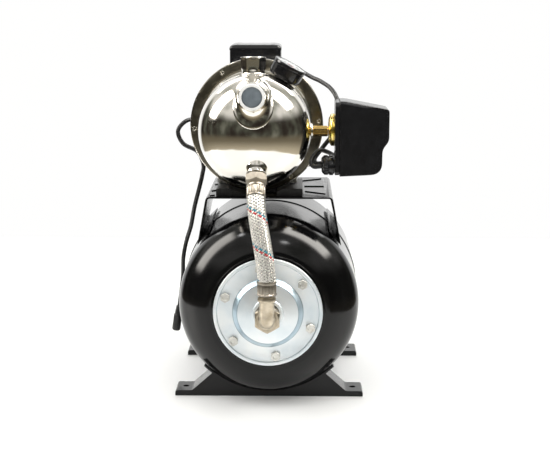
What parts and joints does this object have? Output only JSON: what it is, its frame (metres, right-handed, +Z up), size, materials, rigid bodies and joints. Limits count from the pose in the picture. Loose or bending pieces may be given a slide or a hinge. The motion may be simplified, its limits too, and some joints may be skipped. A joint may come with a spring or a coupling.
{
  "type": "shallow well jet pump",
  "caption": "Shallow well jet pump with motor on a horizontal pressure tank, with braided hose, pressure switch and gauge; draws water from a well and feeds a house.",
  "frame": {"origin": "on the floor at the middle of the front foot's front web, under the tank axis in plan", "axes": "+Z up; the tank and pump axes run along Y, with the suction port facing -Y; +X towards the pressure switch"},
  "size_m": [0.3373, 0.484, 0.524],
  "materials": {
    "black_paint": "gloss black stove enamel",
    "zinc_plate": "bright bluish zinc plate with light scratches",
    "stainless_polished": "mirror-polished stainless steel",
    "stainless_brushed": "satin turned stainless steel",
    "steel_braid": "woven stainless wire with coloured tracer threads",
    "brass": "pale machined brass",
    "yellow_chromate": "yellow-chromated zinc plate",
    "black_plastic": "satin black moulded plastic",
    "gloss_plastic": "gloss black moulded plastic",
    "black_rubber": "matt black rubber or PVC sheath",
    "plug_plastic": "blue-grey plastic",
    "cast_aluminium": "as-cast aluminium",
    "laminated_steel": "ground steel",
    "copper_winding": "enamelled copper winding",
    "impeller_plastic": "glass-filled plastic",
    "dial_white": "matt white printed dial",
    "clear_window": "clear window",
    "needle_red": "red painted pointer"
  },
  "bodies": {
    "frame": {"tank_shell": "black_paint", "tank_bladder": "black_rubber", "tank_flange": "zinc_plate", "flange_bolt_1": "zinc_plate", "flange_bolt_2": "zinc_plate", "flange_bolt_3": "zinc_plate", "flange_bolt_4": "zinc_plate", "flange_bolt_5": "zinc_plate", "flange_bolt_6": "zinc_plate", "air_valve_stem": "brass", "air_valve_cap": "black_plastic", "front_foot": "black_paint", "rear_foot": "black_paint", "pump_platform": "black_paint", "tank_bushing": "brass", "brass_elbow": "brass", "hose_lower_ferrule": "stainless_brushed", "braided_hose": "steel_braid", "hose_upper_ferrule": "stainless_brushed", "hose_swivel_nut": "brass", "pump_casing": "stainless_polished", "clamp_ring": "stainless_brushed", "clamp_bolt_1": "zinc_plate", "clamp_bolt_2": "zinc_plate", "clamp_bolt_3": "zinc_plate", "clamp_bolt_4": "zinc_plate", "clamp_bolt_5": "zinc_plate", "clamp_bolt_6": "zinc_plate", "casing_o_ring": "black_rubber", "motor_bracket": "cast_aluminium", "ejector_diffuser": "impeller_plastic", "shaft_seal": "black_rubber", "front_bearing": "stainless_brushed", "rear_bearing": "stainless_brushed", "stator_winding": "copper_winding", "motor_housing": "cast_aluminium", "fan_cover": "black_plastic", "terminal_box": "black_plastic", "terminal_box_lid": "black_plastic", "pump_base_foot": "black_plastic", "base_bolt_left": "zinc_plate", "base_bolt_right": "zinc_plate", "gauge_case": "gloss_plastic", "gauge_dial": "dial_white", "gauge_lens": "clear_window", "switch_nipple": "brass", "switch_diaphragm_flange": "yellow_chromate", "switch_base": "black_plastic", "switch_cover": "black_plastic", "cable_gland_front": "black_plastic", "cable_gland_rear": "black_plastic", "power_cord": "black_rubber", "motor_lead": "black_rubber"},
    "rotor": {"motor_shaft": "laminated_steel", "rotor_core": "laminated_steel", "impeller": "impeller_plastic", "cooling_fan": "impeller_plastic"},
    "gauge_pointer": {"gauge_needle": "needle_red"},
    "contact_lever": {"switch_contact_lever": "stainless_brushed"},
    "plug": {"suction_plug": "plug_plastic"}
  },
  "joints": [
    {"name": "rotor_spin", "type": "hinge", "parent": "frame", "child": "rotor", "pos_m": [-0.02, 0.1316, 0.405], "axis": [0, 1, 0], "continuous": true},
    {"name": "gauge_pointer_turn", "type": "hinge", "parent": "frame", "child": "gauge_pointer", "pos_m": [0.03043, 0.01772, 0.49598], "axis": [-0.483, 0.0872, -0.8713], "range_deg": [0, 270]},
    {"name": "contact_lever_tilt", "type": "hinge", "parent": "frame", "child": "contact_lever", "pos_m": [0.109, 0.0066, 0.43], "axis": [0, 1, 0], "range_deg": [-4, 0]},
    {"name": "plug_pull", "type": "slide", "parent": "frame", "child": "plug", "axis": [0, -1, 0], "range_m": [0, 0.06]}
  ]
}
